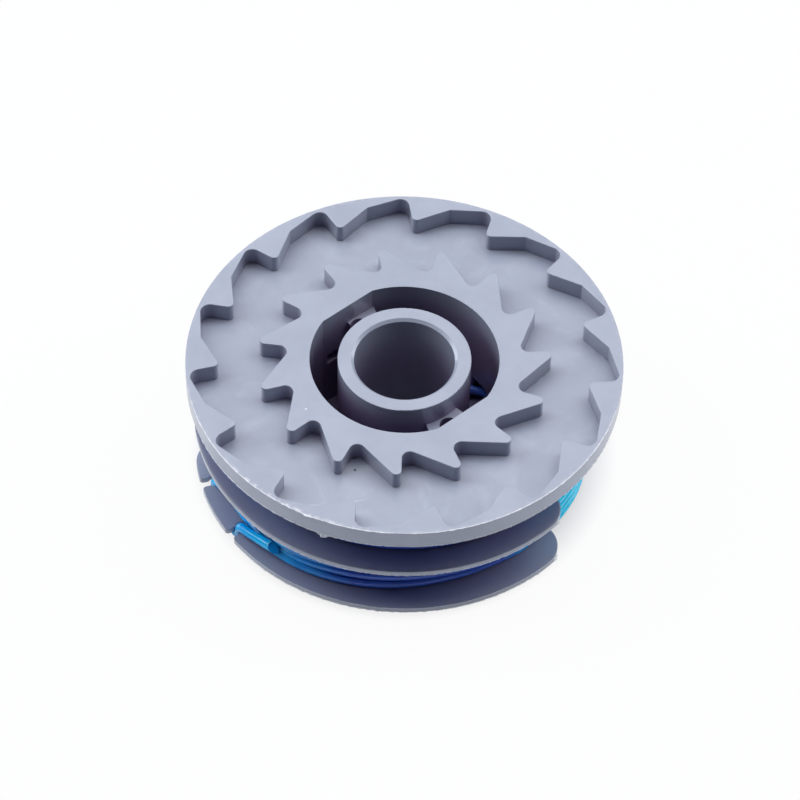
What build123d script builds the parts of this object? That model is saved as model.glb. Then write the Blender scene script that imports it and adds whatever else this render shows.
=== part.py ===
from build123d import *
import math
import os

# A grass trimmer's line spool: one grey moulding with two line chambers, and two wound nylon lines.
# Millimetres and degrees. The bore stands on +Z, and azimuths turn anticlockwise from +X seen from above.
# The spool stands on the loop of line under its lowest flange, so that loop touches z = 0.

# Line
line_diameter = 1.5
line_clearance = 0.06

# Heights of the moulding, from its lowest face upwards
wing_thickness = 1.0
lower_chamber_height = 8.65
upper_chamber_height = 6.75
plate_thickness = 1.2
track_depth = 3.4

# Top flange
flange_radius = 35.0
rim_side_height = 3.5
top_edge_round = 0.12

# Teeth inside the rim, as corners before rounding
tooth_count = 15
rim_tip_depth = 5.6
rim_kink_depth = 2.1
rim_valley_depth = 0.1
rim_tip_azimuth = 16.35
rim_kink_step = 10.55
rim_flank_lean = 1.75
rim_tip_round = 0.85
rim_valley_round = 1.5

# Teeth around the inner ring, as corners before rounding
ring_tip_radius = 24.9
ring_valley_radius = 18.15
ring_tooth_azimuth = 5.8
ring_tip_round = 0.85
ring_valley_round = 1.3

# Hub: a tube with a bore, and an annular well around it with two flats
bore_radius = 8.1
bore_chamfer = 0.45
tube_wall = 2.6
well_radius = 15.2
well_flat_cut = 0.9
well_flat_azimuth = 131.0
core_wall = 2.0
floor_thickness = 1.0

# Blocks at the well's flats, each with a hole for a line's inner end. The one beside the upper window
# stops short past its hole's middle, so that the hole is open towards the window.
anchor_depth = 4.1
anchor_span = 32.0
anchor_short_side = 5.0
anchor_azimuth = 126.0
anchor_hole_wall = 0.25
anchor_hole_depth = 7.0

# Windows through the core's wall, where the lines start
upper_window_azimuth = 142.5
upper_window_width = 2.6
upper_window_height = 2.0
lower_window_azimuth = 34.0
lower_window_width = 4.2
lower_window_height = 4.5

# Wings: the two lower flanges are each a pair of sectors
wing_setback = 1.0
wing_span = 143.6
wing_azimuth = 252.3
wing_corner = 4.85

# Keyholes in a wing, as angles from its end: the line goes down one and comes up the other
keyhole_clearance = 0.45
keyhole_depth = 2.3
slot_clearance = 0.05
keyhole_mouth_round = 0.6
hairpin_step = 16.4
exit_step = 35.7

# Windings
winding_setback = 4.0
winding_clearance = 0.1
winding_seat = 0.02
strand_gap = 0.12
ridge_height = 0.5
bend_share = 0.45

# Heights worked out from the stack
wing_bottom = line_diameter + line_clearance
lower_chamber_floor = wing_bottom + wing_thickness
middle_wing_bottom = lower_chamber_floor + lower_chamber_height
upper_chamber_floor = middle_wing_bottom + wing_thickness
plate_bottom = upper_chamber_floor + upper_chamber_height
track_floor = plate_bottom + plate_thickness
top = track_floor + track_depth
well_floor = wing_bottom + floor_thickness
anchor_top = top - anchor_depth

# Radii and angles worked out from the hub outwards
half_turn = 180.0
tooth_pitch = 2 * half_turn / tooth_count
tube_radius = bore_radius + tube_wall
core_radius = well_radius + core_wall
well_flat_distance = well_radius - well_flat_cut
well_middle = (tube_radius + well_flat_distance) / 2
anchor_hole_radius = (well_flat_distance - tube_radius) / 2 - anchor_hole_wall
wing_radius = flange_radius - wing_setback
winding_radius = wing_radius - winding_setback
keyhole_centre = wing_radius - keyhole_depth
keyhole_radius = line_diameter / 2 + keyhole_clearance
keyhole_slot = line_diameter + 2 * slot_clearance
wing_start = wing_azimuth - wing_span / 2
hairpin_azimuth = wing_start + hairpin_step
exit_azimuth = wing_start + exit_step

# Strands side by side in each chamber
strand_pitch = line_diameter + strand_gap
lower_strands = int((lower_chamber_height - 2 * winding_seat) / strand_pitch)
upper_strands = int((upper_chamber_height - 2 * winding_seat) / strand_pitch)

# The line's end over the wing that holds it: radius, azimuth and height of its middle.
# It leaves the winding, drops through one keyhole, runs back under the wing and rises through the other.
on_wing = line_clearance + line_diameter / 2
under_wing = -(wing_thickness + on_wing)
exit_radius = keyhole_centre + 0.4
tail_route = [
    (winding_radius - 2.4, hairpin_azimuth + 88.0, on_wing),
    (winding_radius - 0.9, hairpin_azimuth + 79.0, on_wing),
    (winding_radius + 0.5, hairpin_azimuth + 70.0, on_wing),
    (winding_radius + 0.95, hairpin_azimuth + 60.0, on_wing),
    (winding_radius + 1.0, hairpin_azimuth + 48.5, on_wing),
    (winding_radius + 0.95, hairpin_azimuth + 37.0, on_wing),
    (winding_radius + 0.9, hairpin_azimuth + 26.5, on_wing),
    (winding_radius + 0.95, hairpin_azimuth + 16.5, on_wing),
    (winding_radius + 1.05, hairpin_azimuth + 7.6, on_wing),
    (keyhole_centre, hairpin_azimuth + 0.25, on_wing),
    (keyhole_centre, hairpin_azimuth + 0.25, under_wing),
    (keyhole_centre + 0.05, hairpin_azimuth + 4.5, under_wing),
    (keyhole_centre + 0.3, hairpin_azimuth + 10.6, under_wing),
    (exit_radius + 0.1, exit_azimuth - 3.6, under_wing),
    (exit_radius, exit_azimuth, under_wing),
    (exit_radius, exit_azimuth, on_wing + 0.15),
    (exit_radius + 0.5, exit_azimuth + 6.6, on_wing + 0.9),
    (exit_radius - 0.1, exit_azimuth + 13.4, on_wing + 1.5),
]


def polar(radius, azimuth, height=0.0):
    """Point at a radius, an azimuth and a height."""
    angle = math.radians(azimuth)
    return (radius * math.cos(angle), radius * math.sin(angle), height)


def rim_outline():
    """Space inside the rim's teeth: each has a near-radial flank, and a long flank with a kink."""
    corners = []
    rounds = []
    for index in range(tooth_count):
        tip = rim_tip_azimuth + index * tooth_pitch
        corners.append(polar(flange_radius - rim_valley_depth, tip - tooth_pitch + rim_flank_lean))
        corners.append(polar(flange_radius - rim_kink_depth, tip - rim_kink_step))
        corners.append(polar(flange_radius - rim_tip_depth, tip))
        rounds += [rim_valley_round, 0, rim_tip_round]
    with BuildSketch() as outline:
        with BuildLine():
            FilletPolyline(*corners, radius=rounds, close=True)
        make_face()
    return outline.sketch


def ring_outline():
    """The inner ring's toothed outline: each tooth has a radial flank and a long straight one."""
    corners = []
    rounds = []
    for index in range(tooth_count):
        flank = ring_tooth_azimuth + index * tooth_pitch
        corners.append(polar(ring_tip_radius, flank))
        corners.append(polar(ring_valley_radius, flank))
        rounds += [ring_tip_round, ring_valley_round]
    with BuildSketch() as outline:
        with BuildLine():
            FilletPolyline(*corners, radius=rounds, close=True)
        make_face()
    return outline.sketch


def well_outline():
    """The annular well between the tube and the core, with its two flats."""
    with BuildSketch() as outline:
        Circle(well_radius)
        Rectangle(2 * well_flat_distance, 2 * well_radius, rotation=well_flat_azimuth, mode=Mode.INTERSECT)
        Circle(tube_radius, mode=Mode.SUBTRACT)
    return outline.sketch


def anchor_outline():
    """The two sectors of the well that the anchor blocks fill."""
    reach = 2 * well_radius
    with BuildSketch() as outline:
        for azimuth, past_hole in (
            (anchor_azimuth, anchor_short_side),
            (anchor_azimuth + half_turn, anchor_span / 2),
        ):
            with BuildLine():
                Polyline(
                    (0, 0, 0),
                    polar(reach, azimuth - anchor_span / 2),
                    polar(reach, azimuth + past_hole),
                    close=True,
                )
            make_face()
        add(well_outline(), mode=Mode.INTERSECT)
    return outline.sketch


def wing_outline(azimuth, keyholes):
    """A flange's sector with rounded corners, and keyholes at the given azimuths."""
    start = azimuth - wing_span / 2
    root = core_radius - core_wall / 2
    with BuildSketch() as outline:
        with BuildLine():
            CenterArc((0, 0), wing_radius, start, wing_span)
            CenterArc((0, 0), root, start, wing_span)
            Line(polar(root, start), polar(wing_radius, start))
            Line(polar(root, start + wing_span), polar(wing_radius, start + wing_span))
        make_face()
        fillet(outline.vertices().sort_by_distance((0, 0, 0))[-2:], wing_corner)
        for keyhole in keyholes:
            with Locations(polar(keyhole_centre, keyhole)):
                Circle(keyhole_radius, mode=Mode.SUBTRACT)
            slot_length = wing_radius - keyhole_centre + keyhole_slot
            with Locations(polar(keyhole_centre + slot_length / 2, keyhole)):
                Rectangle(slot_length, keyhole_slot, rotation=keyhole, mode=Mode.SUBTRACT)
            mouth = outline.vertices(Select.LAST).sort_by_distance((0, 0, 0))[-2:]
            fillet(mouth, keyhole_mouth_round)
    return outline.sketch


def window_plane(azimuth, height):
    """Upright plane in the well that looks out through a window centred at a height."""
    return Plane(origin=polar(well_middle, azimuth, height), x_dir=(0, 0, 1), z_dir=polar(1, azimuth))


def tail_points(turn, chamber_floor):
    """The line's end, turned about the axis and set on its own wing."""
    return [polar(radius, azimuth + turn, chamber_floor + height) for radius, azimuth, height in tail_route]


def bend_radii(points):
    """One bend radius for each corner, as large as the shorter of its two runs allows."""
    radii = []
    for before, corner, after in zip(points, points[1:], points[2:]):
        run_in = Vector(corner) - Vector(before)
        run_out = Vector(after) - Vector(corner)
        turn = math.radians(run_in.get_angle(run_out))
        radii.append(bend_share * min(run_in.length, run_out.length) / math.tan(turn / 2))
    return radii


def wound_line(chamber_floor, strands, turn):
    """A winding with a ridge for each strand outside, and its end led out through the keyholes."""
    inner = core_radius + winding_clearance
    groove = winding_radius - ridge_height
    low = chamber_floor + winding_seat
    high = low + strands * strand_pitch
    points = tail_points(turn, chamber_floor)
    radii = bend_radii(points)
    print("line end's bend radii", [round(radius, 2) for radius in radii])
    with BuildPart() as line:
        with BuildSketch(Plane.XZ):
            with BuildLine():
                Line((inner, low), (groove, low))
                for index in range(strands):
                    start = low + index * strand_pitch
                    crest = (winding_radius, start + strand_pitch / 2)
                    ThreePointArc((groove, start), crest, (groove, start + strand_pitch))
                Polyline((groove, high), (inner, high), (inner, low))
            make_face()
        revolve(axis=Axis.Z)
        with BuildLine():
            route = FilletPolyline(*points, radius=radii)
        with BuildSketch(Plane(origin=route @ 0, z_dir=route % 0)):
            Circle(line_diameter / 2)
        sweep()
    print("line end's length", round(route.length, 2))
    return line


# The moulding
near_wing = wing_azimuth
far_wing = wing_azimuth + half_turn
keyhole_pair = [hairpin_azimuth, exit_azimuth]
far_keyhole_pair = [azimuth + half_turn for azimuth in keyhole_pair]
bevel = plate_thickness + track_depth - rim_side_height

with BuildPart() as spool:
    # Top flange, thinner at its edge underneath
    with BuildSketch(Plane.XZ):
        with BuildLine():
            Polyline(
                (0, plate_bottom),
                (flange_radius - bevel, plate_bottom),
                (flange_radius, plate_bottom + bevel),
                (flange_radius, top),
                (0, top),
                close=True,
            )
        make_face()
    revolve(axis=Axis.Z)

    # Track between the two rings of ratchet teeth, with their top edges softened
    with BuildSketch(Plane.XY.offset(top)):
        add(rim_outline())
        add(ring_outline(), mode=Mode.SUBTRACT)
    extrude(amount=-track_depth, mode=Mode.SUBTRACT)
    fillet(spool.faces().group_by(Axis.Z)[-1].edges(), top_edge_round)

    # Core under the flange
    with BuildSketch(Plane.XY.offset(wing_bottom)):
        Circle(core_radius)
    extrude(amount=plate_bottom - wing_bottom)

    # Wings of the middle and bottom flanges
    with BuildSketch(Plane.XY.offset(middle_wing_bottom)):
        add(wing_outline(near_wing, []))
        add(wing_outline(far_wing, far_keyhole_pair))
    extrude(amount=wing_thickness)
    with BuildSketch(Plane.XY.offset(wing_bottom)):
        add(wing_outline(near_wing, keyhole_pair))
        add(wing_outline(far_wing, []))
    extrude(amount=wing_thickness)

    # Well around the tube, and the anchor blocks that stand in it
    with BuildSketch(Plane.XY.offset(well_floor)):
        add(well_outline())
    extrude(amount=top - well_floor, mode=Mode.SUBTRACT)
    with BuildSketch(Plane.XY.offset(well_floor)):
        add(anchor_outline())
    extrude(amount=anchor_top - well_floor)
    with BuildSketch(Plane.XY.offset(anchor_top)):
        with Locations(
            polar(well_middle, anchor_azimuth),
            polar(well_middle, anchor_azimuth + half_turn),
        ):
            Circle(anchor_hole_radius)
    extrude(amount=-anchor_hole_depth, mode=Mode.SUBTRACT)

    # Windows through the core, with their sills on the chambers' floors
    for azimuth, sill, width, height in (
        (upper_window_azimuth, upper_chamber_floor, upper_window_width, upper_window_height),
        (lower_window_azimuth, lower_chamber_floor, lower_window_width, lower_window_height),
    ):
        with BuildSketch(window_plane(azimuth, sill + height / 2)):
            Rectangle(height, width)
        extrude(amount=core_radius, mode=Mode.SUBTRACT)

    # Bore
    with BuildSketch(Plane.XY.offset(wing_bottom)):
        Circle(bore_radius)
    extrude(amount=top - wing_bottom, mode=Mode.SUBTRACT)
    top_circles = spool.edges().filter_by(GeomType.CIRCLE).group_by(Axis.Z)[-1]
    bore_mouth, tube_edge = top_circles.sort_by_distance((0, 0, top))[:2]
    chamfer(bore_mouth, bore_chamfer)
    fillet(tube_edge, top_edge_round)

# The windings, each with its end threaded through a pair of keyholes
lower_line = wound_line(lower_chamber_floor, lower_strands, 0)
upper_line = wound_line(upper_chamber_floor, upper_strands, half_turn)

spool.part.label = "spool"
lower_line.part.label = "lower_line"
upper_line.part.label = "upper_line"

os.makedirs("parts", exist_ok=True)
export_step(spool.part, "parts/spool.step")
export_step(lower_line.part, "parts/lower_line.step")
export_step(upper_line.part, "parts/upper_line.step")
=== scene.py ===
import bpy
import bmesh
import math
import random
from mathutils import Matrix, Vector, noise


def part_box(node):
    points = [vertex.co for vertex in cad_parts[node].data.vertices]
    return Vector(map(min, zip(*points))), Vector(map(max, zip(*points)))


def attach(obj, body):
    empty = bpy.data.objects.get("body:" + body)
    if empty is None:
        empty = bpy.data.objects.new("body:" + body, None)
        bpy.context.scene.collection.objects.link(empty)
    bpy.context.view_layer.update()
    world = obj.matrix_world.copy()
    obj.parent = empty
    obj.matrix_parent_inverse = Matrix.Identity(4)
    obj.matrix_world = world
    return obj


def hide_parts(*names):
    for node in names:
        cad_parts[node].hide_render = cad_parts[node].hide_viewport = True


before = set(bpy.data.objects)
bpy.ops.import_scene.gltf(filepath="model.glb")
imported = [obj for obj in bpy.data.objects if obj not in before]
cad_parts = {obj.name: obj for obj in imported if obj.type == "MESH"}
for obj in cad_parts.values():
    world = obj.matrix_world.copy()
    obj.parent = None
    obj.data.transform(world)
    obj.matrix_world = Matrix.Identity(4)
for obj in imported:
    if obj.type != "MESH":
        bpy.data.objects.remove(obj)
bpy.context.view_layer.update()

# A trimmer line spool on a white table: one grey moulding wound with two blue nylon lines.
# Metres. Azimuths are degrees, anticlockwise from +X seen from above.
MM = 0.001
UPRIGHT = Vector((0, 0, 1))
FLANGE_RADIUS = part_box("spool")[1].x
FRONT_REACH = -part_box("spool")[0].y
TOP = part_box("spool")[1].z
WING_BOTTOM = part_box("spool")[0].z
WING_THICKNESS = 1.0 * MM
LOWER_CHAMBER_HEIGHT = 8.65 * MM
LOWER_FLOOR = WING_BOTTOM + WING_THICKNESS
UPPER_FLOOR = LOWER_FLOOR + LOWER_CHAMBER_HEIGHT + WING_THICKNESS
MIDDLE_WING_BOTTOM = UPPER_FLOOR - WING_THICKNESS
WING_RADIUS = 34.0 * MM
WING_START = 180.5
WING_SPAN = 143.6
TRACK_DEPTH = 3.4 * MM
TRACK_FLOOR = TOP - TRACK_DEPTH
RIM_HEIGHT = 3.5 * MM
RIM_LOWER_EDGE = TOP - RIM_HEIGHT
WELL_WALL = 15.2 * MM

# Line and windings
LINE_RADIUS = 0.75 * MM
LINE_GAP = 0.06 * MM
INNER_LAYER_RADIUS = 18.1 * MM
OUTER_LAYER_RADIUS = 29.2 * MM
LAYERS = 8
LAYER_STEP = (OUTER_LAYER_RADIUS - INNER_LAYER_RADIUS) / (LAYERS - 1)
STRAND_PITCH = 1.6 * MM
RADIUS_SCATTER = 0.04 * MM
HEIGHT_SCATTER = 0.05 * MM
STEPS_PER_TURN = 96
TUBE_SIDES = 14
CROSSING_AZIMUTH = 237.0
CROSSING_HALF_WIDTH = 17.0
WINDING_END_AZIMUTH = 322.0
ROUTE_STEPS = 10
ROUTE_ORDER = 3
FREE_END_SLOPE = 1.0
FREE_END_SWELL = 0.14
FREE_END_LENGTH = 7.0 * MM

# Strands in each layer of a winding, inside first
LOWER_COUNTS = [4, 5] * (LAYERS // 2)
UPPER_COUNTS = [4] * LAYERS

# Where the lower winding's outer layers stand out: azimuth, half width in degrees, and how far
LOWER_BULGES = [(238.0, 46.0, 1.1 * MM), (340.0, 30.0, 0.6 * MM)]
BULGING_LAYERS = 3

# The line's end over its wing: radius in mm, azimuth, height of its middle over the wing in mm
ON_WING = (LINE_RADIUS + LINE_GAP) / MM
UNDER_WING = -(WING_THICKNESS / MM + ON_WING)
TAIL_ROUTE = [
    (29.2, 310.0, ON_WING),
    (29.1, 298.0, ON_WING),
    (29.15, 286.0, ON_WING),
    (29.6, 274.0, ON_WING),
    (30.15, 262.0, ON_WING),
    (30.65, 250.0, ON_WING),
    (31.0, 239.0, ON_WING),
    (31.0, 231.0, ON_WING),
    (30.6, 223.5, ON_WING),
    (30.3, 215.0, ON_WING),
    (30.3, 206.5, ON_WING),
    (31.7, 197.15, ON_WING),
    (31.7, 197.15, UNDER_WING),
    (31.75, 201.4, UNDER_WING),
    (32.0, 207.5, UNDER_WING),
    (32.2, 212.6, UNDER_WING),
    (32.1, 216.2, UNDER_WING),
    (32.1, 216.2, ON_WING + 0.1),
    (32.05, 219.4, ON_WING + 0.45),
    (31.82, 223.4, ON_WING + 0.9),
    (31.72, 227.0, ON_WING + 1.3),
    (31.74, 230.4, ON_WING + 1.7),
]

# The lower line's inner end, which comes out of the hub through its window, in the same terms
INNER_END = [
    (12.9, 51.0, ON_WING + 0.7),
    (14.3, 44.0, ON_WING + 0.8),
    (16.2, 36.0, ON_WING + 0.7),
    (17.7, 27.0, ON_WING + 0.2),
    (18.1, 19.0, ON_WING),
]

# Section of a lip of flash, and how unevenly it is torn
LIP_STEP = 0.4
LIP_FADE = 8.0
LIP_ROOT = 0.1 * MM
LIP_SKIN = 0.01 * MM
LIP_TIP = 0.03 * MM
LIP_DEPTH = 0.3 * MM
LIP_MEAN = 0.5
COARSE_TEARS = 0.8
COARSE_SHARE = 0.8
FINE_TEARS = 3.3
FINE_SHARE = 0.6
FINE_LAYER = 5.0
BURR_TEAR = 0.5

# Edges with flash: radius, height, and the way into the plastic
UP = 1.0
DOWN = -1.0
RIM_TOP = (FLANGE_RADIUS, TOP, DOWN)
RIM_LOWER = (FLANGE_RADIUS, RIM_LOWER_EDGE, UP)
BOTTOM_WING_TOP = (WING_RADIUS, LOWER_FLOOR, DOWN)
BOTTOM_WING_BOTTOM = (WING_RADIUS, WING_BOTTOM, UP)
MIDDLE_WING = (WING_RADIUS, MIDDLE_WING_BOTTOM, UP)

# First and last azimuth of the flash on an edge, and how far it reaches out
RIM_TOP_SPAN = (196.0, 344.0)
RIM_LOWER_SPAN = (200.0, 340.0)
WING_FLASH_SPAN = (222.0, 318.0)
RIM_REACH = 0.15 * MM
BOTTOM_WING_REACH = 0.16 * MM
MIDDLE_WING_REACH = 0.14 * MM

# The one burr on an edge: azimuth, half width, reach and drop
TOP_NICK = (245.4, 1.7, 0.28 * MM, 0.0)
LOWER_BURR = (250.0, 2.2, 0.34 * MM, 0.32 * MM)
NO_BURR = (0.0, 1.0, 0.0, 0.0)

# Marks on the grey moulding, each place a radius and an azimuth
LIGHT_SPECK = (18.81 * MM, 215.1)
LIGHT_SPECK_SIZE = 0.2 * MM
DARK_SPECK = (21.48 * MM, 249.9)
DARK_SPECK_SIZE = 0.3 * MM
SCRATCHES = [
    ((32.25 * MM, 237.5), (26.1 * MM, 259.2)),
    ((30.6 * MM, 296.2), (28.3 * MM, 304.1)),
]
SCRATCH_TAPER = 0.2
WORN_AZIMUTH = 238.0
WORN_MOST = 0.5
WORN_LEAST = 0.1

# Where a tone of the moulding passes into the next, from and to
FLOOR_FADE = (0.3 * MM, 0.6 * MM)
WELL_FADE = (WELL_WALL + 1.0 * MM, WELL_WALL + 1.5 * MM)
RIM_FADE = (FLANGE_RADIUS - 0.3 * MM, FLANGE_RADIUS - 0.1 * MM)
SCRATCH_FADE = (0.05 * MM, 0.2 * MM)
WORN_HEIGHTS = (TOP - 0.6 * MM, TOP - 0.2 * MM)
WORN_RADII = (FLANGE_RADIUS - 0.6 * MM, FLANGE_RADIUS - 0.25 * MM)
WORN_ANGLES = (math.radians(9.0), math.radians(24.0))
UPPER_CHAMBER = (UPPER_FLOOR, RIM_LOWER_EDGE)
LOWER_CHAMBER = (LOWER_FLOOR, MIDDLE_WING_BOTTOM)

# Reach of the shade painted into recesses, and softened edges of the moulding
SHADE_PAINT_REACH = 20.0 * MM
BOTTOM_ROUNDING = 0.25 * MM
MIDDLE_ROUNDING = 0.6 * MM
TOP_CRISPNESS = 0.06

# Where the line's painted light and shade change: angles past the start of a wing, and radii
LED_OUT_FADE = (math.radians(44.0), math.radians(76.0))
GAP_FADE = (math.radians(WING_SPAN - 20.0), math.radians(WING_SPAN + 8.0))
NEXT_WING_FADE = (math.radians(160.0), math.radians(180.0))
OUTERMOST = (0.8 * OUTER_LAYER_RADIUS, 0.95 * OUTER_LAYER_RADIUS)

# Camera, fitted to the photograph
CAMERA_ELEVATION = 50.856
CAMERA_DISTANCE = 0.60570
CAMERA_RIGHT = -0.00057
CAMERA_UP = -0.00663
CAMERA_ROLL = 1.33
CAMERA_CLIP = 0.01
FOCAL_PIXELS = 3791.5
PICTURE_PIXELS = 800
SENSOR_MM = 36.0

# Table and lamps
LOOP_RADIUS = 32.0 * MM
LOOP_AZIMUTH = 207.0
TABLE_HALF = 3.0
TABLE_WHITENESS = 0.95
PAST_SPOOL = (0.6 * FLANGE_RADIUS, FLANGE_RADIUS)
WHITE = (1.0, 1.0, 1.0)
COOL = (0.84, 0.92, 1.0)
BLUISH = (0.84, 0.86, 1.0)

# Sockets of the mix node that hold its share, its two colours and its result
MIX_SHARE = 0
MIX_FIRST = 6
MIX_SECOND = 7
MIX_RESULT = 2


def polar(radius, azimuth, height):
    """Point at a radius, an azimuth and a height."""
    angle = math.radians(azimuth)
    return Vector((radius * math.cos(angle), radius * math.sin(angle), height))


def azimuth_of(point):
    """Azimuth of a point, from -180 to 180 degrees."""
    return math.degrees(math.atan2(point.y, point.x))


def smooth(value):
    """Smooth step from 0 to 1."""
    value = min(max(value, 0.0), 1.0)
    return value * value * (3.0 - 2.0 * value)


def skin(mesh, rings, rounded):
    """Faces from each ring of points to the next, smooth if rounded, and flat ones over both ends."""
    for ring, following in zip(rings, rings[1:]):
        for index in range(len(ring)):
            after = (index + 1) % len(ring)
            face = mesh.faces.new((ring[index], ring[after], following[after], following[index]))
            face.smooth = rounded
    mesh.faces.new(list(reversed(rings[0])))
    mesh.faces.new(rings[-1])
    bmesh.ops.recalc_face_normals(mesh, faces=mesh.faces)


def piece_from(name, mesh, material):
    """A piece of the scene with the finished mesh and its material."""
    data = bpy.data.meshes.new(name)
    mesh.to_mesh(data)
    mesh.free()
    data.materials.append(material)
    piece = bpy.data.objects.new(name, data)
    bpy.context.scene.collection.objects.link(piece)
    return piece


# Lines
def strand_heights(counts, chamber_floor):
    """Height of each strand of each layer: layers run up and down in turn, and the last runs down."""
    most = max(counts)
    heights = []
    for layer, count in enumerate(counts):
        low = chamber_floor + LINE_GAP + LINE_RADIUS + (most - count) * STRAND_PITCH / 2
        strands = [low + index * STRAND_PITCH for index in range(count)]
        if layer % 2 == 1:
            strands.reverse()
        heights.append(strands)
    return heights


def bulge(radius, azimuth, bulges):
    """How far a strand of the outer layers stands out at an azimuth."""
    reach = BULGING_LAYERS * LAYER_STEP
    outer = smooth((radius - OUTER_LAYER_RADIUS + reach) / reach)
    height = 0.0
    for middle, half_width, most in bulges:
        away = abs((azimuth - middle + 180.0) % 360.0 - 180.0)
        height = max(height, most * smooth(1.0 - away / half_width))
    return height * outer


def winding_points(counts, chamber_floor, turn, seed, bulges):
    """The wound length, inside first. Each turn shifts to the next strand over a short crossing."""
    chance = random.Random(seed)
    places = []
    for layer, strands in enumerate(strand_heights(counts, chamber_floor)):
        for height in strands:
            laid_radius = INNER_LAYER_RADIUS + layer * LAYER_STEP
            laid_radius += chance.uniform(-RADIUS_SCATTER, RADIUS_SCATTER)
            laid_height = height + chance.uniform(0.0, HEIGHT_SCATTER)
            places.append((laid_radius, laid_height))
    points = []
    crossing_start = CROSSING_AZIMUTH + CROSSING_HALF_WIDTH
    for index, (radius, height) in enumerate(places):
        radius_before, height_before = places[max(index - 1, 0)]
        last = index == len(places) - 1
        span = 360.0 - (WINDING_END_AZIMUTH - crossing_start if last else 0.0)
        steps = round(STEPS_PER_TURN * span / 360.0)
        for step in range(steps):
            travelled = step * 360.0 / STEPS_PER_TURN
            share = smooth(travelled / (2 * CROSSING_HALF_WIDTH))
            laid = radius_before + (radius - radius_before) * share
            azimuth = crossing_start - travelled + turn
            laid += bulge(laid, azimuth, bulges)
            points.append(polar(laid, azimuth, height_before + (height - height_before) * share))
    return points


def route_points(route, chamber_floor, turn):
    """A route of the line's end as a smooth curve."""
    curve = bpy.data.curves.new("route", "CURVE")
    curve.dimensions = "3D"
    curve.resolution_u = ROUTE_STEPS
    spline = curve.splines.new("NURBS")
    spline.points.add(len(route) - 1)
    for point, (radius, azimuth, height) in zip(spline.points, route):
        point.co = (*polar(radius * MM, azimuth + turn, chamber_floor + height * MM), 1.0)
    spline.order_u = ROUTE_ORDER
    spline.use_endpoint_u = True
    carrier = bpy.data.objects.new("route", curve)
    mesh = bpy.data.meshes.new_from_object(carrier)
    points = [vertex.co.copy() for vertex in mesh.vertices]
    bpy.data.meshes.remove(mesh)
    bpy.data.objects.remove(carrier)
    bpy.data.curves.remove(curve)
    return points


def from_window(points, arrival):
    """The winding's points from where the inner end, past its window, arrives at its azimuth."""
    joined = [0.0 < azimuth_of(point) < arrival for point in points]
    return points[joined.index(True):]


def lengths_left(points):
    """How much of the line is left from each point to its end."""
    lengths = [0.0]
    for after, before in zip(reversed(points), reversed(points[:-1])):
        lengths.append(lengths[-1] + (after - before).length)
    return list(reversed(lengths))


def tube(name, points, material):
    """A closed tube of line along points, cut square at its start, swollen and slanted at its end."""
    mesh = bmesh.new()
    tangents = []
    for index in range(len(points)):
        ahead = points[min(index + 1, len(points) - 1)]
        behind = points[max(index - 1, 0)]
        tangents.append((ahead - behind).normalized())
    side = tangents[0].cross(UPRIGHT).normalized()
    rings = []
    for point, tangent, left in zip(points, tangents, lengths_left(points)):
        side = (side - tangent * side.dot(tangent)).normalized()
        across = tangent.cross(side)
        near_end = smooth(1.0 - left / FREE_END_LENGTH)
        swollen = LINE_RADIUS * (1.0 + FREE_END_SWELL * near_end)
        ring = []
        for index in range(TUBE_SIDES):
            angle = 2 * math.pi * index / TUBE_SIDES
            offset = side * math.cos(angle) + across * math.sin(angle)
            ring.append(mesh.verts.new(point + offset * swollen))
        rings.append(ring)
    end = points[-1]
    along = tangents[-1]
    upwards = (UPRIGHT - along * along.z).normalized()
    for vertex in rings[-1]:
        vertex.co -= along * (vertex.co - end).dot(upwards) * FREE_END_SLOPE
    skin(mesh, rings, rounded=True)
    return piece_from(name, mesh, material)


def wound_line(name, node, counts, chamber_floor, turn, seed, material, bulges=(), inner_end=()):
    """One line: its winding and its ends as a single tube in place of the plain solid."""
    points = winding_points(counts, chamber_floor, turn, seed, bulges)
    if inner_end:
        arrival = inner_end[-1][1]
        points = route_points(inner_end, chamber_floor, turn) + from_window(points, arrival)
    points += route_points(TAIL_ROUTE, chamber_floor, turn)
    length = sum((after - before).length for before, after in zip(points, points[1:]))
    print(name, "length of line", round(length, 3), "m")
    piece = tube(name, points, material)
    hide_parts(node)
    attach(piece, "root")


# Flash
def lip(name, edge, flash_span, reach, burr, seed, material):
    """A thin uneven lip of flash along a round edge, within the box round the moulding."""
    radius, height, inwards = edge
    start, stop = flash_span
    burr_azimuth, burr_half_width, burr_reach, burr_drop = burr
    mesh = bmesh.new()
    rows = []
    for step in range(round((stop - start) / LIP_STEP) + 1):
        azimuth = start + step * LIP_STEP
        fade = smooth((azimuth - start) / LIP_FADE) * smooth((stop - azimuth) / LIP_FADE)
        coarse = noise.noise(Vector((azimuth * COARSE_TEARS, seed, 0.0)))
        fine = noise.noise(Vector((azimuth * FINE_TEARS, seed, FINE_LAYER)))
        out = reach * fade * max(0.0, LIP_MEAN + COARSE_SHARE * coarse + FINE_SHARE * fine)
        burr_share = smooth(1.0 - abs(azimuth - burr_azimuth) / burr_half_width)
        out += burr_reach * burr_share * (1.0 + BURR_TEAR * fine)
        angle = math.radians(azimuth)
        room = FRONT_REACH / max(abs(math.cos(angle)), abs(math.sin(angle))) - radius
        out = min(out, room)
        tip = height + inwards * LIP_TIP - burr_drop * burr_share
        rows.append(
            [
                mesh.verts.new(polar(radius - LIP_ROOT, azimuth, height + inwards * LIP_SKIN)),
                mesh.verts.new(polar(radius + out, azimuth, tip)),
                mesh.verts.new(polar(radius - LIP_ROOT / 2, azimuth, height + inwards * LIP_DEPTH)),
            ]
        )
    skin(mesh, rows, rounded=False)
    piece = piece_from(name, mesh, material)
    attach(piece, "root")


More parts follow.
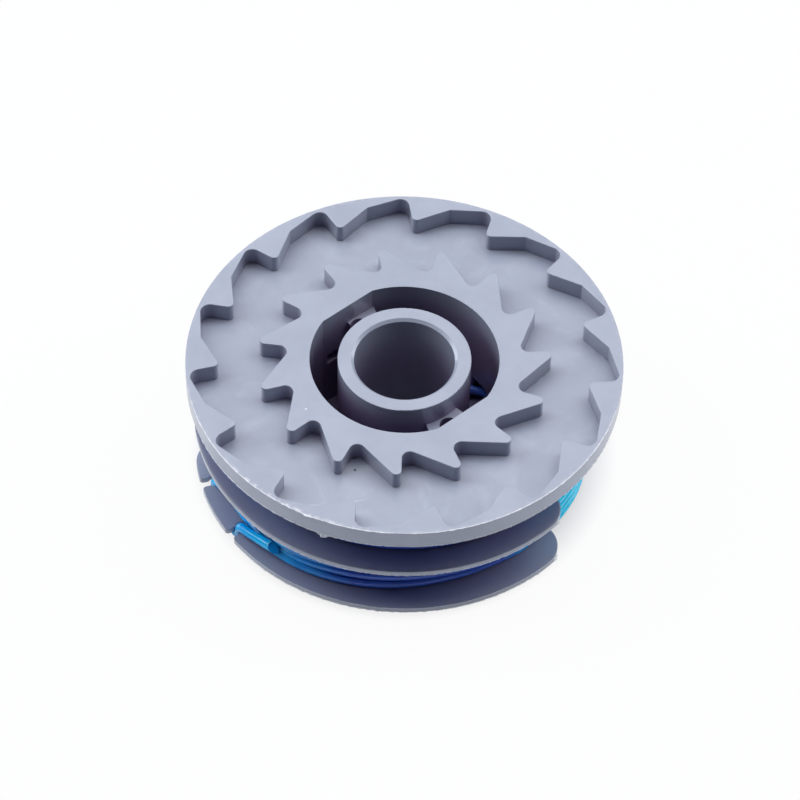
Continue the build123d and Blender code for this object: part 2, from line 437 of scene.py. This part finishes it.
# Materials
class Nodes:
    """Short calls for building a material's node tree."""

    def __init__(self, name):
        self.material = bpy.data.materials.new(name)
        self.material.use_nodes = True
        self.tree = self.material.node_tree
        self.tree.nodes.clear()
        self.shader = self.add("ShaderNodeBsdfPrincipled")
        self.output = self.add("ShaderNodeOutputMaterial")
        self.link(self.shader.outputs[0], self.output.inputs[0])
        self.place = self.add("ShaderNodeTexCoord").outputs["Object"]
        parts = self.add("ShaderNodeSeparateXYZ")
        self.link(self.place, parts.inputs[0])
        self.height = parts.outputs["Z"]
        across = self.times(parts.outputs["X"], parts.outputs["X"])
        away = self.math("MULTIPLY_ADD", parts.outputs["Y"], parts.outputs["Y"], across)
        self.radius = self.math("SQRT", away)
        self.azimuth = self.math("ARCTAN2", parts.outputs["Y"], parts.outputs["X"])

    def add(self, kind, **settings):
        node = self.tree.nodes.new(kind)
        for key, value in settings.items():
            setattr(node, key, value)
        return node

    def link(self, source, target):
        self.tree.links.new(source, target)

    def feed(self, target, value):
        if hasattr(value, "is_linked"):
            self.link(value, target)
        else:
            target.default_value = value

    def noise(self, scale, detail, roughness=0.5, distortion=0.0):
        node = self.add("ShaderNodeTexNoise")
        self.link(self.place, node.inputs["Vector"])
        node.inputs["Scale"].default_value = scale
        node.inputs["Detail"].default_value = detail
        node.inputs["Roughness"].default_value = roughness
        node.inputs["Distortion"].default_value = distortion
        return node.outputs["Fac"]

    def math(self, operation, first, second=0.0, third=0.0):
        node = self.add("ShaderNodeMath", operation=operation)
        for target, value in zip(node.inputs, (first, second, third)):
            self.feed(target, value)
        return node.outputs[0]

    def times(self, first, second):
        return self.math("MULTIPLY", first, second)

    def apart(self, first, second):
        return self.math("ABSOLUTE", self.math("SUBTRACT", first, second))

    def remap(self, value, low, high, to_low=0.0, to_high=1.0):
        node = self.add("ShaderNodeMapRange")
        for target, item in zip(node.inputs, (value, low, high, to_low, to_high)):
            self.feed(target, item)
        return node.outputs[0]

    def fall(self, value, low, high):
        return self.remap(value, low, high, 1.0, 0.0)

    def mix(self, share, first, second, blend="MIX"):
        node = self.add("ShaderNodeMix", data_type="RGBA", blend_type=blend)
        self.feed(node.inputs[MIX_SHARE], share)
        self.feed(node.inputs[MIX_FIRST], first)
        self.feed(node.inputs[MIX_SECOND], second)
        return node.outputs[MIX_RESULT]

    def bump(self, height, distance, strength, normal=None):
        node = self.add("ShaderNodeBump")
        node.inputs["Strength"].default_value = strength
        node.inputs["Distance"].default_value = distance
        self.link(height, node.inputs["Height"])
        if normal is not None:
            self.link(normal, node.inputs["Normal"])
        return node.outputs["Normal"]


def node_angle(azimuth):
    """An azimuth past 180 degrees as the nodes give it, in radians and below zero."""
    return math.radians(azimuth - 360.0)


def on_track_floor(nodes):
    """1 on the floor of the track between the two rings of teeth, and 0 elsewhere."""
    level = nodes.fall(nodes.apart(nodes.height, TRACK_FLOOR), *FLOOR_FADE)
    outside_well = nodes.remap(nodes.radius, *WELL_FADE)
    inside_rim = nodes.fall(nodes.radius, *RIM_FADE)
    return nodes.times(level, nodes.times(outside_well, inside_rim))


def speck(nodes, colour, place, size, tone):
    """A small spot of another tone."""
    away = nodes.add("ShaderNodeVectorMath", operation="DISTANCE")
    nodes.link(nodes.place, away.inputs[0])
    away.inputs[1].default_value = place
    return nodes.mix(nodes.fall(away.outputs["Value"], 0.5 * size, size), colour, tone)


def scratch(nodes, colour, start, stop, amount, tone):
    """A fine mark between two places, tapered at both ends."""
    first_radius, first_azimuth = start
    last_radius, last_azimuth = stop
    share = nodes.remap(nodes.azimuth, node_angle(first_azimuth), node_angle(last_azimuth))
    middle = nodes.remap(share, 0.0, 1.0, first_radius, last_radius)
    near = nodes.fall(nodes.apart(nodes.radius, middle), *SCRATCH_FADE)
    begun = nodes.remap(share, 0.0, SCRATCH_TAPER)
    unfinished = nodes.fall(share, 1.0 - SCRATCH_TAPER, 1.0)
    near = nodes.times(near, nodes.times(begun, unfinished))
    return nodes.mix(nodes.times(near, amount), colour, tone)


def worn_edge(nodes):
    """Whitened bits along the rim's top edge, most of them at the front left."""
    high = nodes.remap(nodes.height, *WORN_HEIGHTS)
    outside = nodes.remap(nodes.radius, *WORN_RADII)
    off_left = nodes.apart(nodes.azimuth, node_angle(WORN_AZIMUTH))
    side = nodes.remap(off_left, *WORN_ANGLES, WORN_MOST, WORN_LEAST)
    bits = nodes.remap(nodes.noise(scale=900.0, detail=4.0, roughness=0.65), 0.48, 0.60)
    edge = nodes.times(nodes.times(high, outside), side)
    return nodes.times(edge, bits)


def grey_plastic():
    """Semi-matte grey moulding: mottled, with flow marks and specks, and painted shade that darkens its
    recesses and the track floor.
    """
    nodes = Nodes("grey_moulding_with_painted_shade")
    grey = (0.296, 0.328, 0.426, 1.0)
    lighter = (0.345, 0.380, 0.482, 1.0)
    darker = (0.255, 0.287, 0.382, 1.0)
    painted_shade_tone = (0.098, 0.038, 0.148, 1.0)
    pale = (0.74, 0.76, 0.82, 1.0)
    chalk = (0.7, 0.71, 0.76, 1.0)
    soot = (0.03, 0.03, 0.04, 1.0)
    mottle = nodes.remap(nodes.noise(scale=140.0, detail=4.0, roughness=0.6), 0.35, 0.65)
    colour = nodes.mix(nodes.times(mottle, 0.55), grey, lighter)
    clouds = nodes.noise(scale=55.0, detail=3.0, roughness=0.55, distortion=1.2)
    clouds = nodes.remap(clouds, 0.42, 0.66)
    colour = nodes.mix(nodes.times(clouds, 0.35), colour, darker)
    floor = on_track_floor(nodes)
    # Painted shade: the track floor's colour is darkened as if shaded by the teeth walls.
    colour = nodes.mix(nodes.times(floor, 0.35), colour, darker)
    wisps = nodes.noise(scale=110.0, detail=3.0, roughness=0.55, distortion=1.6)
    wisps = nodes.remap(wisps, 0.48, 0.74)
    wisps = nodes.times(wisps, nodes.remap(floor, 0.0, 1.0, 0.25, 1.0))
    colour = nodes.mix(nodes.times(wisps, 0.7), colour, lighter)
    for start, stop in SCRATCHES:
        colour = scratch(nodes, colour, start, stop, nodes.times(floor, 0.22), pale)
    colour = nodes.mix(worn_edge(nodes), colour, pale)
    # Painted shade: recesses far inside the moulding are darkened towards a dark violet by ambient
    # occlusion.
    openness = nodes.add("ShaderNodeAmbientOcclusion", samples=8, only_local=True)
    openness.inputs["Distance"].default_value = SHADE_PAINT_REACH
    open_enough = nodes.remap(nodes.height, *UPPER_CHAMBER, 0.74, 0.42)
    depth = nodes.fall(openness.outputs["AO"], 0.1, open_enough)
    colour = nodes.mix(nodes.times(depth, 0.77), colour, painted_shade_tone)
    colour = speck(nodes, colour, polar(*LIGHT_SPECK, TOP), LIGHT_SPECK_SIZE, chalk)
    colour = speck(nodes, colour, polar(*DARK_SPECK, TRACK_FLOOR), DARK_SPECK_SIZE, soot)
    rounding = nodes.remap(nodes.height, *LOWER_CHAMBER, BOTTOM_ROUNDING, MIDDLE_ROUNDING)
    crisp = nodes.remap(nodes.height, *UPPER_CHAMBER, 1.0, TOP_CRISPNESS)
    soft_edge = nodes.add("ShaderNodeBevel", samples=6)
    nodes.link(nodes.times(rounding, crisp), soft_edge.inputs["Radius"])
    grain = nodes.noise(scale=2600.0, detail=3.0, roughness=0.6)
    normal = nodes.bump(wisps, distance=0.04 * MM, strength=0.5, normal=soft_edge.outputs[0])
    normal = nodes.bump(grain, distance=0.012 * MM, strength=0.5, normal=normal)
    roughness = nodes.remap(nodes.noise(scale=420.0, detail=3.0), 0.3, 0.7, 0.30, 0.40)
    nodes.link(colour, nodes.shader.inputs["Base Color"])
    nodes.link(roughness, nodes.shader.inputs["Roughness"])
    nodes.link(normal, nodes.shader.inputs["Normal"])
    nodes.shader.inputs["Specular IOR Level"].default_value = 0.6
    nodes.shader.inputs["Coat Weight"].default_value = 0.5
    nodes.shader.inputs["Coat Roughness"].default_value = 0.15
    return nodes.material


def light_grey():
    """Torn edges and flash of the grey moulding, whitened where the plastic was stretched."""
    nodes = Nodes("grey_flash_finish")
    pale = (0.52, 0.55, 0.63, 1.0)
    white = (0.70, 0.72, 0.78, 1.0)
    patches = nodes.remap(nodes.noise(scale=900.0, detail=3.0, roughness=0.6), 0.4, 0.65)
    nodes.link(nodes.mix(patches, pale, white), nodes.shader.inputs["Base Color"])
    nodes.link(nodes.remap(patches, 0.0, 1.0, 0.4, 0.55), nodes.shader.inputs["Roughness"])
    return nodes.material


def blue_nylon():
    """Drawn nylon line, painted as if lit (cyan) in the wings' gaps and by the keyholes, else painted
    shaded dark blue, with painted shade between strands.
    """
    nodes = Nodes("blue_line_painted_light_and_shade")
    shaded_navy = (0.06, 0.145, 0.62, 1.0)
    blue = (0.0, 0.40, 0.92, 1.0)
    cyan = (0.0, 0.54, 0.98, 1.0)
    lit_pale_cyan = (0.02, 0.70, 1.0, 1.0)
    shaded = (0.25, 0.42, 0.55, 1.0)
    drift = nodes.remap(nodes.noise(scale=160.0, detail=3.0, roughness=0.55), 0.35, 0.65)
    # Painted light and shade: strands by the keyholes and in the gaps get lit cyan tones, those under
    # the wings a shaded dark blue.
    outermost = nodes.remap(nodes.radius, *OUTERMOST)
    past_start = nodes.math("SUBTRACT", nodes.azimuth, math.radians(WING_START))
    past_start = nodes.math("FLOORED_MODULO", past_start, math.pi)
    led_out = nodes.fall(past_start, *LED_OUT_FADE)
    in_gap = nodes.remap(past_start, *GAP_FADE)
    before_next = nodes.fall(past_start, *NEXT_WING_FADE)
    lit = nodes.times(nodes.math("MAXIMUM", led_out, in_gap), outermost)
    colour = nodes.mix(lit, shaded_navy, nodes.mix(drift, blue, cyan))
    palest_painted_light = nodes.times(nodes.times(in_gap, before_next), outermost)
    colour = nodes.mix(palest_painted_light, colour, lit_pale_cyan)
    # Painted shade: the colour darkens between strands, where they shade each other.
    crevice = nodes.add("ShaderNodeAmbientOcclusion", samples=8, only_local=True)
    crevice.inputs["Distance"].default_value = 2 * LINE_RADIUS
    between = nodes.fall(crevice.outputs["AO"], 0.3, 0.75)
    colour = nodes.mix(between, colour, shaded, "MULTIPLY")
    marks = nodes.noise(scale=1500.0, detail=2.0)
    nodes.link(colour, nodes.shader.inputs["Base Color"])
    nodes.link(nodes.remap(marks, 0.3, 0.7, 0.10, 0.17), nodes.shader.inputs["Roughness"])
    nodes.link(nodes.bump(marks, distance=0.01 * MM, strength=0.4), nodes.shader.inputs["Normal"])
    nodes.shader.inputs["IOR"].default_value = 1.5
    nodes.shader.inputs["Specular IOR Level"].default_value = 0.4
    nodes.shader.inputs["Transmission Weight"].default_value = 0.06
    nodes.shader.inputs["Subsurface Weight"].default_value = 0.3
    nodes.shader.inputs["Subsurface Radius"].default_value = (0.25, 0.7, 1.0)
    nodes.shader.inputs["Subsurface Scale"].default_value = 0.5 * MM
    return nodes.material


def table_white():
    """White table: past the spool it shows plain white, but for a small share that takes the shadow;
    under the spool its colour is painted dark as shadow.
    """
    nodes = Nodes("table_white")
    nodes.shader.inputs["Roughness"].default_value = 0.9
    nodes.shader.inputs["Specular IOR Level"].default_value = 0.0
    white = nodes.add("ShaderNodeEmission")
    rays = nodes.add("ShaderNodeLightPath")
    seen = nodes.math("MAXIMUM", rays.outputs["Is Camera Ray"], rays.outputs["Is Glossy Ray"])
    seen = nodes.math("MAXIMUM", seen, rays.outputs["Is Transmission Ray"])
    outside = nodes.remap(nodes.radius, *PAST_SPOOL)
    open_white = (0.62, 0.65, 0.7, 1.0)
    # Painted shadow: under the spool the table's colour is dark.
    painted_shadow_under_spool = (0.2, 0.2, 0.23, 1.0)
    nodes.link(nodes.mix(outside, painted_shadow_under_spool, open_white), nodes.shader.inputs["Base Color"])
    share = nodes.times(nodes.times(seen, outside), TABLE_WHITENESS)
    mix = nodes.add("ShaderNodeMixShader")
    nodes.link(share, mix.inputs[0])
    nodes.link(nodes.shader.outputs[0], mix.inputs[1])
    nodes.link(white.outputs[0], mix.inputs[2])
    nodes.link(mix.outputs[0], nodes.output.inputs[0])
    return nodes.material


# Stage
def standing_floor():
    """The table, tilted with the plane through the loop of line and the opposite edge of the flange."""
    loop = polar(LOOP_RADIUS, LOOP_AZIMUTH, 0.0)
    edge = polar(WING_RADIUS, LOOP_AZIMUTH - 180.0, WING_BOTTOM)
    along = (edge - loop).normalized()
    across = UPRIGHT.cross(along).normalized()
    normal = along.cross(across)
    corners = []
    for ahead, aside in ((-1, -1), (1, -1), (1, 1), (-1, 1)):
        corners.append(loop + along * TABLE_HALF * ahead + across * TABLE_HALF * aside)
    data = bpy.data.meshes.new("table")
    data.from_pydata(corners, [], [(0, 1, 2, 3)])
    if data.polygons[0].normal.dot(normal) < 0:
        data.flip_normals()
    data.materials.append(table_white())
    table = bpy.data.objects.new("table", data)
    bpy.context.scene.collection.objects.link(table)


def soft_light(name, place, width, depth, power, colour=WHITE):
    """A rectangular soft box that faces the spool."""
    data = bpy.data.lights.new(name, "AREA")
    data.shape = "RECTANGLE"
    data.size = width
    data.size_y = depth
    data.energy = power
    data.color = colour
    lamp = bpy.data.objects.new(name, data)
    lamp.location = place
    lamp.rotation_euler = (Vector((0, 0, TOP)) - Vector(place)).to_track_quat("-Z", "Y").to_euler()
    bpy.context.scene.collection.objects.link(lamp)


def studio():
    """A wide panel overhead, another behind, soft boxes high on both sides and three low cards."""
    soft_light("overhead", place=(0.0, 0.2, 1.1), width=1.4, depth=0.7, power=9.3)
    soft_light("panel", place=(0.0, 0.62, 0.92), width=1.6, depth=0.8, power=4.2)
    soft_light("left_box", place=(-0.8, 0.15, 0.75), width=0.6, depth=0.6, power=5.4)
    soft_light("right_box", place=(0.8, 0.15, 0.75), width=0.6, depth=0.6, power=3.6)
    soft_light("card", place=(0.0, -0.7, 0.03), width=1.2, depth=0.06, power=0.6, colour=BLUISH)
    soft_light("left_card", place=(-0.65, 0.3, 0.14), width=0.4, depth=0.24, power=1.7, colour=COOL)
    soft_light("right_card", place=(0.65, 0.3, 0.14), width=0.4, depth=0.24, power=1.4, colour=COOL)
    world = bpy.data.worlds.new("room")
    world.use_nodes = True
    background = world.node_tree.nodes["Background"]
    background.inputs["Color"].default_value = (0.95, 0.97, 1.0, 1.0)
    background.inputs["Strength"].default_value = 0.01
    bpy.context.scene.world = world


def camera():
    """The photograph's view: over the front, a little off the axis, and rolled with the tilted spool."""
    elevation = math.radians(CAMERA_ELEVATION)
    roll = math.radians(CAMERA_ROLL)
    right = Vector((1, 0, 0))
    up = Vector((0, math.sin(elevation), math.cos(elevation)))
    forward = Vector((0, math.cos(elevation), -math.sin(elevation)))
    place = Vector((0, 0, TOP)) + right * CAMERA_RIGHT + up * CAMERA_UP - forward * CAMERA_DISTANCE
    rolled_right = right * math.cos(roll) + up * math.sin(roll)
    rolled_up = up * math.cos(roll) - right * math.sin(roll)
    turn = Matrix((rolled_right, rolled_up, -forward)).transposed().to_4x4()
    data = bpy.data.cameras.new("camera")
    data.sensor_width = SENSOR_MM
    data.lens = FOCAL_PIXELS / PICTURE_PIXELS * SENSOR_MM
    data.clip_start = CAMERA_CLIP
    view = bpy.data.objects.new("camera", data)
    view.matrix_world = Matrix.Translation(place) @ turn
    bpy.context.scene.collection.objects.link(view)
    bpy.context.scene.camera = view


camera()
studio()
standing_floor()

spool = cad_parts["spool"]
spool.data.materials.clear()
spool.data.materials.append(grey_plastic())
nylon = blue_nylon()
wound_line(
    "lower_winding",
    "lower_line",
    LOWER_COUNTS,
    LOWER_FLOOR,
    turn=0.0,
    seed=7,
    material=nylon,
    bulges=LOWER_BULGES,
    inner_end=INNER_END,
)
wound_line("upper_winding", "upper_line", UPPER_COUNTS, UPPER_FLOOR, turn=180.0, seed=11, material=nylon)
torn = light_grey()
lip("rim_top_flash", RIM_TOP, RIM_TOP_SPAN, RIM_REACH, TOP_NICK, 3.0, torn)
lip("rim_lower_flash", RIM_LOWER, RIM_LOWER_SPAN, RIM_REACH, LOWER_BURR, 8.0, torn)
lip("wing_top_flash", BOTTOM_WING_TOP, WING_FLASH_SPAN, BOTTOM_WING_REACH, NO_BURR, 13.0, torn)
lip("wing_bottom_flash", BOTTOM_WING_BOTTOM, WING_FLASH_SPAN, BOTTOM_WING_REACH, NO_BURR, 18.0, torn)
lip("middle_wing_flash", MIDDLE_WING, WING_FLASH_SPAN, MIDDLE_WING_REACH, NO_BURR, 23.0, torn)

bpy.context.scene.view_settings.view_transform = "Standard"
